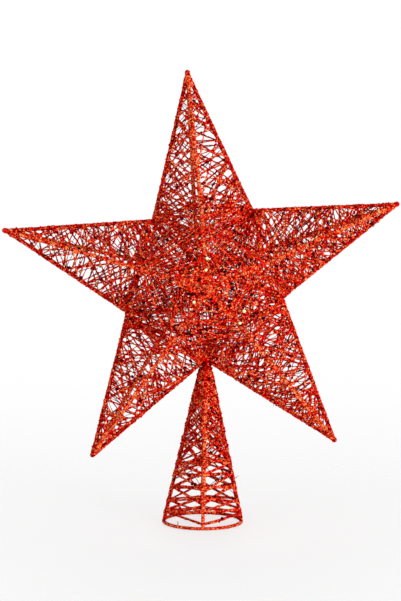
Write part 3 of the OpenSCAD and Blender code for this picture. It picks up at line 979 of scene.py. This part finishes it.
# The neck's binding: loops, sweeps, heights, how unevenly it lies, and depth of its layers
NECK_LOOPS, NECK_SWEEPS = 24, 4
NECK_FROM, NECK_TO = 86 * MM, 103.5 * MM
NECK_UNEVEN = 0.5 * MM
NECK_LAYERS = 0.1 * MM


def neck_threads():
    yarn = Yarn(NECK_SEED)
    rng = yarn.rng
    count = 4 * NECK_LOOPS
    z = (there_and_back(count, NECK_SWEEPS, NECK_FROM, NECK_TO)
         + rng.normal(size=count) * NECK_UNEVEN)
    contacts, ways = contacts_on(list(UPRIGHTS.values()), np.arange(count) % 4, upright_share(z))
    wind(yarn, contacts, ways, against(rng, count, NECK_THREAD_R, NECK_LAYERS), UP,
         NECK_THREAD_R, PLAIN, slack=0)
    # the binding takes the neck's painted shade
    piece(yarn, "neck_threads", [neck_shade], ["neck_binding"])


# Skins of the wrapped wires, and the bumps of the ridges
STAR_WRAP_R = WRAP_R + 0.15 * MM
CONE_WRAP_R = WRAP_R + 0.12 * MM
RING_WRAP_R = WRAP_R - 0.08 * MM
RIDGE_BUMPS = 0.14 * MM
# How far a wrapping passes its wire at either end, and less than nothing where it falls short
OUTLINE_PAST = (0.8 * MM, 0.6 * MM)
RIDGE_PAST = (-2 * MM, -1.5 * MM)
CLASP_PAST = (-0.6 * MM, 2.5 * MM)
SIDE_PAST = (-0.6 * MM, -14 * MM)


def outline_wraps():
    for k in ARMS:
        for side, corner in (("left", CORNERS[k]), ("right", CORNERS[k - 1])):
            yarn = wrap(OUTLINE_SEED + 2 * k + (side == "left"), TIPS[k], corner,
                        OUTLINE_PAST, STAR_WRAP_R)
            piece(yarn, f"outline_wrap_{k + 1}_{side}", [edge_red])


def ridge_wraps():
    for face in FACES:
        for k in ARMS:
            yarn = wrap(RIDGE_SEED + 2 * k + (face == "back"), TIPS[k], PEAKS[face],
                        RIDGE_PAST, STAR_WRAP_R, RIDGE_BUMPS)
            # the ridges' wrapping takes the painted highlight
            piece(yarn, f"{face}_ridge_wrap_{k + 1}", [ridge_highlight])


def cone_wraps():
    for name, (foot, head) in UPRIGHTS.items():
        past = CLASP_PAST if name in FACES else SIDE_PAST
        yarn = wrap(UPRIGHT_SEED + len(name), foot, head, past, CONE_WRAP_R)
        if name == "front":
            end = head + unit(head - foot) * past[1]
            # its top, under the neck's binding, takes the neck's painted shade
            yarn.repaint([(mix(foot, head, BOUND_FROM), end)], reach=3 * MM, slot=1, share=1)
        # the front upright's wrapping takes its painted highlight, the other uprights the edges'
        # glitter
        piece(yarn, f"upright_wrap_{name}",
              [upright_highlight if name == "front" else edge_red, neck_shade])


# Lumps where each upright is tied to the ring: their spread along it and off it, and sizes
TIE_LUMPS = 7
TIE_SPREAD = 1.6
TIE_OFF = (-0.3, 0.5)
TIE_SIZES = (0.7, 0.95)
# The ring's front, in front of this share of its radius, takes the ridges' painted highlight, in
# short chords
HIGHLIGHT_FROM = -0.35
CHORD_POINTS = 8


def ring_wrap():
    yarn = Yarn(RING_SEED)
    rng = yarn.rng
    n = int(math.tau * RING_R / WRAP_STEP)
    angle = np.linspace(0, math.tau, n)
    path = np.stack([RING_R * np.cos(angle), RING_R * np.sin(angle), np.full(n, WIRE_R)], -1)
    round_it = np.arange(WRAP_SIDES) * math.tau / WRAP_SIDES
    rib = WRAP_RIB * np.cos(angle[:, None] * round(math.tau * RING_R / WRAP_PITCH) - round_it)
    radius = RING_WRAP_R + rib + rng.normal(size=(n, WRAP_SIDES)) * WRAP_ROUGH
    yarn.tube(path, radius, UP, sides=WRAP_SIDES)
    for foot, _ in UPRIGHTS.values():
        out = unit(foot * np.array([1, 1, 0]))
        for _ in range(TIE_LUMPS):
            along = np.cross(out, UP) * rng.normal() * TIE_SPREAD * MM
            lump(yarn, foot + along + out * rng.uniform(*TIE_OFF) * MM,
                 rng.uniform(*TIE_SIZES) * MM)
    chords = [(path[i], path[i + CHORD_POINTS])
              for i in range(0, n - CHORD_POINTS, CHORD_POINTS)
              if path[i][1] < HIGHLIGHT_FROM * RING_R]
    yarn.repaint(chords, reach=3 * MM, slot=1, share=1)
    piece(yarn, "ring_wrap", [edge_red, ridge_highlight])


# Turns of thread over a weld bead, how far each goes round it, and its points
BUTTON_TURNS = 7
BUTTON_ROUND = 1.1
BUTTON_POINTS = 26
BUTTON_R = WELD_R + 0.35 * MM


def peak_buttons():
    """The weld beads under their turns of thread."""
    for face in FACES:
        yarn = Yarn(PEAK_SEED + len(face))
        rng = yarn.rng
        for _ in range(BUTTON_TURNS):
            axis = unit(rng.normal(size=3))
            a = squared(rng.normal(size=3), axis)
            b = np.cross(axis, a)
            t = np.linspace(0, math.tau * BUTTON_ROUND, BUTTON_POINTS)[:, None]
            yarn.tube(PEAKS[face] + (a * np.cos(t) + b * np.sin(t)) * BUTTON_R,
                      yarn_radius(rng, BUTTON_POINTS, THREAD_R), axis)
        # the thread on the weld beads takes the ridges' painted highlight
        piece(yarn, f"{face}_peak_button", [ridge_highlight])


# The caps of thread on the tips: thickness, length, its rounded share, and reach past each tip
TIP_R = 1.7 * MM
TIP_LENGTH = 6 * MM
TIP_ROUNDED = 0.30
TIP_PAST = (2.6 * MM, 2.8 * MM, 1.2 * MM, 2.4 * MM, 2.4 * MM)
TIP_ROUGH, TIP_RIB = 0.10 * MM, 0.12 * MM
TIP_POINTS, TIP_SIDES = 22, 12


def tip_caps():
    for k in ARMS:
        yarn = Yarn(TIP_SEED + k)
        run = unit(CENTRE - TIPS[k])
        t = np.linspace(0, 1, TIP_POINTS)
        radius = TIP_R * np.sqrt(np.clip(1 - (1 - t / TIP_ROUNDED).clip(0, 1) ** 2, 0.04, 1))
        rough = yarn.rng.normal(size=(TIP_POINTS, TIP_SIDES)) * TIP_ROUGH
        rib = TIP_RIB * np.cos(math.tau * t[:, None] * TIP_LENGTH / WRAP_PITCH
                               - np.arange(TIP_SIDES) * math.tau / TIP_SIDES)
        yarn.tube(TIPS[k] - run * TIP_PAST[k] + run * (t * TIP_LENGTH)[:, None],
                  radius[:, None] * (1 + rough / TIP_R + rib / TIP_R),
                  OUTWARD["back"], sides=TIP_SIDES)
        piece(yarn, f"tip_cap_{k + 1}", [edge_red])


# The camera that the photograph was taken with

IMAGE_W, IMAGE_H = 401, 601
AZIMUTH, ELEVATION, ROLL = -5.59, 8.07, 0.27
DISTANCE = 2.0
FOCAL_PIXELS = 3180.7
SENSOR = 36.0
STAR_AT = (203.65, 280.99)


def take_camera():
    az, el, roll = (math.radians(v) for v in (AZIMUTH, ELEVATION, ROLL))
    forward = np.array([-math.sin(az) * math.cos(el), math.cos(az) * math.cos(el), -math.sin(el)])
    level = np.array([math.cos(az), math.sin(az), 0])
    rise = np.cross(level, forward)
    right = math.cos(roll) * level + math.sin(roll) * rise
    up = -math.sin(roll) * level + math.cos(roll) * rise
    scale = DISTANCE / FOCAL_PIXELS
    aim = (CENTRE - right * (STAR_AT[0] - IMAGE_W / 2) * scale
           + up * (STAR_AT[1] - IMAGE_H / 2) * scale)
    data = bpy.data.cameras.new("camera")
    data.sensor_width = SENSOR
    data.lens = FOCAL_PIXELS * SENSOR / IMAGE_H
    data.clip_start, data.clip_end = 0.05, 100
    cam = bound(bpy.data.objects.new("camera", data))
    turn = Matrix((right, up, -forward)).transposed()
    cam.matrix_world = Matrix.Translation(Vector(aim - forward * DISTANCE)) @ turn.to_4x4()
    bpy.context.scene.camera = cam


# Floor, sky and lamps

WHITE = (1, 1, 1, 1)


def white_to_the_camera(tree):
    path = add_node(tree, "LightPath", {})
    either = add_node(tree, "Math", {0: path["Is Camera Ray"], 1: path["Is Glossy Ray"]},
                      "MAXIMUM")
    return add_node(tree, "Math", {0: either[0], 1: path["Is Transmission Ray"]}, "MAXIMUM")[0]


def make_world(level):
    world = bpy.data.worlds.new("studio")
    bpy.context.scene.world = world
    world.use_nodes = True
    tree = world.node_tree
    light = tree.nodes["Background"]
    feed(tree, light, {"Color": WHITE, "Strength": level})
    seen = add_node(tree, "Background", {"Color": WHITE, "Strength": 1.0})
    blend = add_node(tree, "MixShader",
                     {0: white_to_the_camera(tree), 1: light.outputs[0], 2: seen[0]})
    feed(tree, tree.nodes["World Output"], {"Surface": blend[0]})


# The floor, a little under the ring, and how it fades into the white round it
FLOOR_R = 1.1
FLOOR_DROP = 0.35 * MM
FLOOR_WHITE = 0.93
FADE_FROM, FADE_TO = 0.05, FLOOR_R * 0.6
FADE_LEAST = 0.68


def make_floor():
    """A pale round floor that fades into the white round it."""
    bpy.ops.mesh.primitive_circle_add(vertices=96, radius=FLOOR_R, fill_type="TRIFAN",
                                      location=(0, 0, -FLOOR_DROP))
    floor = bpy.context.object
    floor.name = "floor"
    mat = bpy.data.materials.new("floor")
    mat.use_nodes = True
    tree = mat.node_tree
    bsdf = tree.nodes["Principled BSDF"]
    feed(tree, bsdf, {"Base Color": (FLOOR_WHITE,) * 3 + (1,), "Roughness": 0.9,
                      "Specular IOR Level": 0.1})
    place = add_node(tree, "TexCoord", {})["Object"]
    length = add_node(tree, "VectorMath", {0: place}, "LENGTH")["Value"]
    fade = add_node(tree, "MapRange", {"Value": length, "From Min": FADE_FROM,
                                       "From Max": FADE_TO, "To Min": FADE_LEAST})["Result"]
    fade.node.interpolation_type = "SMOOTHSTEP"
    clear = add_node(tree, "BsdfTransparent", {})
    blend = add_node(tree, "MixShader", {0: fade, 1: bsdf.outputs[0], 2: clear[0]})
    feed(tree, tree.nodes["Material Output"], {"Surface": blend[0]})
    floor.data.materials.append(mat)


# The light of the sky, and the lamps: place, width and power
SKY_LEVEL = 0.66
LAMPS = {"key": ((1.1, -1.6, 0.05), 1.1, 37), "fill": ((-1.4, -1.2, 1.0), 1.4, 3),
         "rim": ((0.2, 1.6, 1.2), 1.0, 8)}


def lamp(name, place, size, power):
    data = bpy.data.lights.new(name, "AREA")
    data.shape = "DISK"
    data.size = size
    data.energy = power
    obj = bound(bpy.data.objects.new(name, data))
    obj.location = place
    obj.rotation_mode = "QUATERNION"
    obj.rotation_quaternion = (Vector(CENTRE) - Vector(place)).to_track_quat("-Z", "Y")


take_camera()
make_world(SKY_LEVEL)
make_floor()
for name, values in LAMPS.items():
    lamp(name, *values)

outline_wraps()
ridge_wraps()
cone_wraps()
ring_wrap()
peak_buttons()
tip_caps()
for arm in ARMS:
    arm_threads(arm)
for face in FACES:
    web_threads(face)
pale_dots()
cone_threads()
neck_threads()

# Materials of the bare wires, which show at their ends only; the ridges and welds take the ridges'
# painted highlight
for name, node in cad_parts.items():
    skin = ridge_highlight if "ridge" in name or "weld" in name else edge_red
    node.data.materials.clear()
    node.data.materials.append(skin)

bpy.context.scene.view_settings.view_transform = "Standard"
